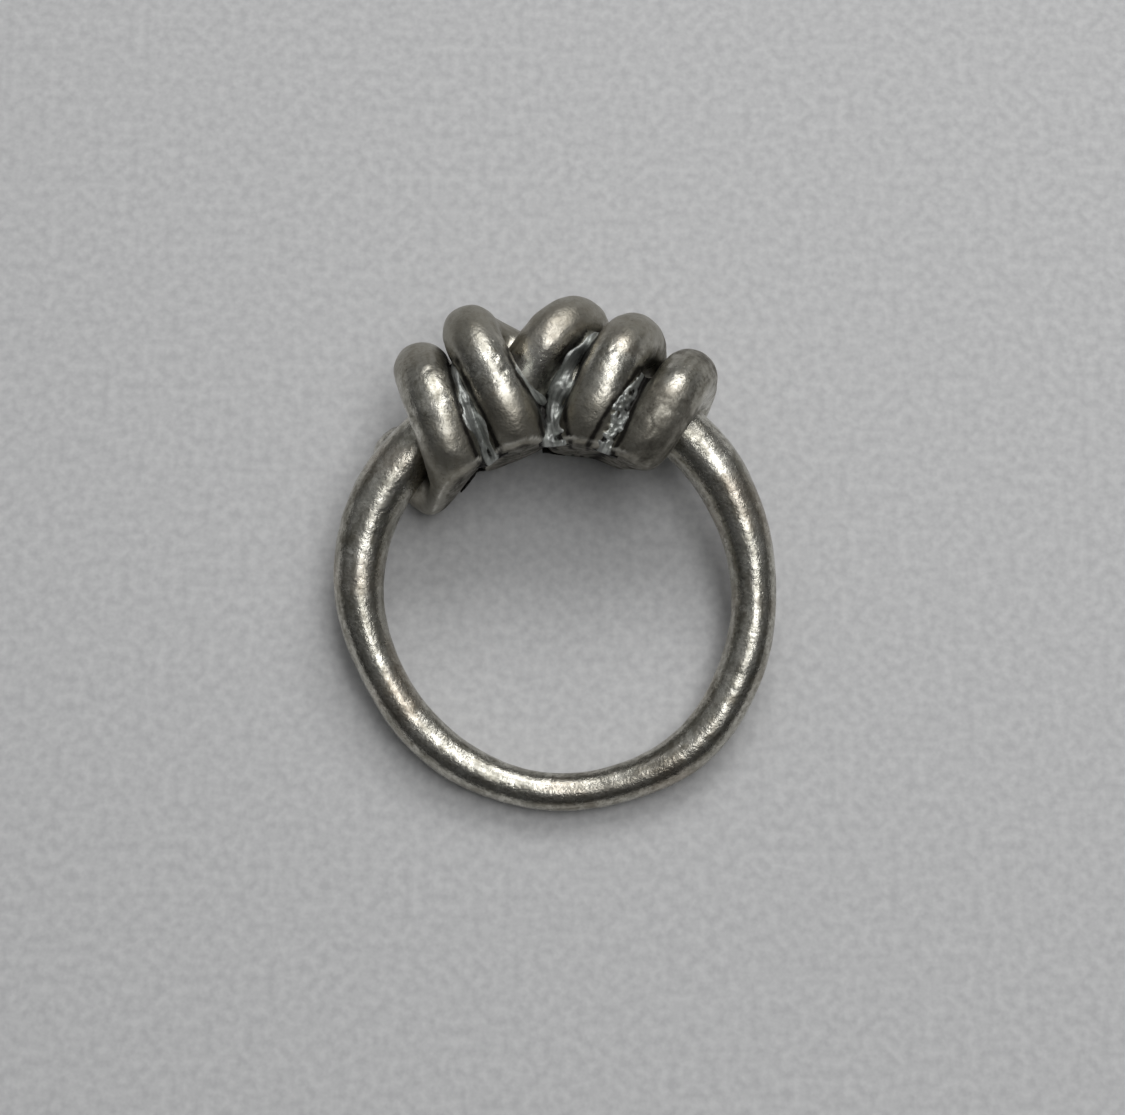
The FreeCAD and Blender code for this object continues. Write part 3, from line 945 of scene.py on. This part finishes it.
def add_floor():
    mesh = bpy.data.meshes.new("floor")
    half = FLOOR_SIZE / 2
    corners = [(-half, -half, 0), (half, -half, 0), (half, half, 0), (-half, half, 0)]
    mesh.from_pydata(corners, [], [(0, 1, 2, 3)])
    n = Nodes("pale_floor")
    n.shader.inputs["Roughness"].default_value = 0.9
    n.put(n.shader.inputs["Base Color"], n.ramp(n.noise(0.5, detail=2.0), *FLOOR_TINTS))
    mesh.materials.append(n.material)
    floor = bpy.data.objects.new("floor", mesh)
    bpy.context.scene.collection.objects.link(floor)


def look_rotation(towards, up):
    """A rotation that points a camera's or a lamp's -Z towards a direction, with +Y close to up."""
    back = -towards.normalized()
    right = up.cross(back).normalized()
    return Matrix((right, back.cross(right), back)).transposed().to_4x4()


def add_lamp(name, direction, distance, width, height, power):
    """A rectangular lamp shining on the ring from a direction of the ring's plane frame."""
    lamp = bpy.data.lights.new(name, "AREA")
    lamp.shape = "RECTANGLE"
    lamp.size = width * MM
    lamp.size_y = height * MM
    lamp.energy = power
    item = bpy.data.objects.new(name, lamp)
    bpy.context.scene.collection.objects.link(item)
    towards = direction_in_row(direction).normalized()
    place = Matrix.Translation(Vector(ring_centre) + towards * distance * MM)
    item.matrix_world = place @ look_rotation(-towards, direction_in_row((0.0, 1.0, 0.05)))


def add_camera():
    """A camera that looks down the finger's axis, leaning a little from the shank's side."""
    camera = bpy.data.cameras.new("camera")
    camera.sensor_width = SENSOR_WIDTH
    camera.sensor_fit = "HORIZONTAL"
    camera.lens = SENSOR_WIDTH * LENS_DISTANCE / VIEW_WIDTH
    camera.clip_start = 0.005
    item = bpy.data.objects.new("camera", camera)
    bpy.context.scene.collection.objects.link(item)
    lean = math.radians(VIEW_LEAN)
    towards = direction_in_row((0.0, -math.sin(lean), math.cos(lean)))
    target = Vector(in_row(np.array(VIEW_CENTRE)))
    place = Matrix.Translation(target + towards * LENS_DISTANCE * MM)
    item.matrix_world = place @ look_rotation(-towards, direction_in_row((0.0, 1.0, 0.0)))
    bpy.context.scene.camera = item


def eased_range(tree, place, places, low_value, high_value):
    """A value that eases from one number to another as the place goes from the first place to the second."""
    node = tree.nodes.new("ShaderNodeMapRange")
    node.interpolation_type = "SMOOTHSTEP"
    tree.links.new(place, node.inputs["Value"])
    node.inputs["From Min"].default_value, node.inputs["From Max"].default_value = places
    node.inputs["To Min"].default_value = low_value
    node.inputs["To Max"].default_value = high_value
    return node.outputs["Result"]


def set_world():
    """A soft studio: paler overhead and behind the knot, darker near the horizon and on the viewer's side."""
    world = bpy.data.worlds.new("studio")
    world.use_nodes = True
    tree = world.node_tree
    background = tree.nodes["Background"]
    place = tree.nodes.new("ShaderNodeTexCoord")
    split = tree.nodes.new("ShaderNodeSeparateXYZ")
    tree.links.new(place.outputs["Generated"], split.inputs[0])
    upward = eased_range(tree, split.outputs["Z"], SKY_HEIGHTS, SKY_HORIZON, SKY_TOP)
    behind = eased_range(tree, split.outputs["Y"], SKY_DEPTHS, VIEWER_SIDE_SKY, KNOT_SIDE_SKY)
    product = tree.nodes.new("ShaderNodeMath")
    product.operation = "MULTIPLY"
    tree.links.new(upward, product.inputs[0])
    tree.links.new(behind, product.inputs[1])
    tree.links.new(product.outputs["Value"], background.inputs["Strength"])
    background.inputs["Color"].default_value = SKY_COLOUR
    bpy.context.scene.world = world


add_floor()
add_camera()
set_world()
add_lamp("key", (0.20, 0.78, 0.59), distance=300, width=200, height=130, power=KEY_POWER)
add_lamp("overhead", (0.23, 0.20, 0.95), distance=320, width=110, height=200, power=OVERHEAD_POWER)
bpy.context.scene.view_settings.view_transform = "Standard"
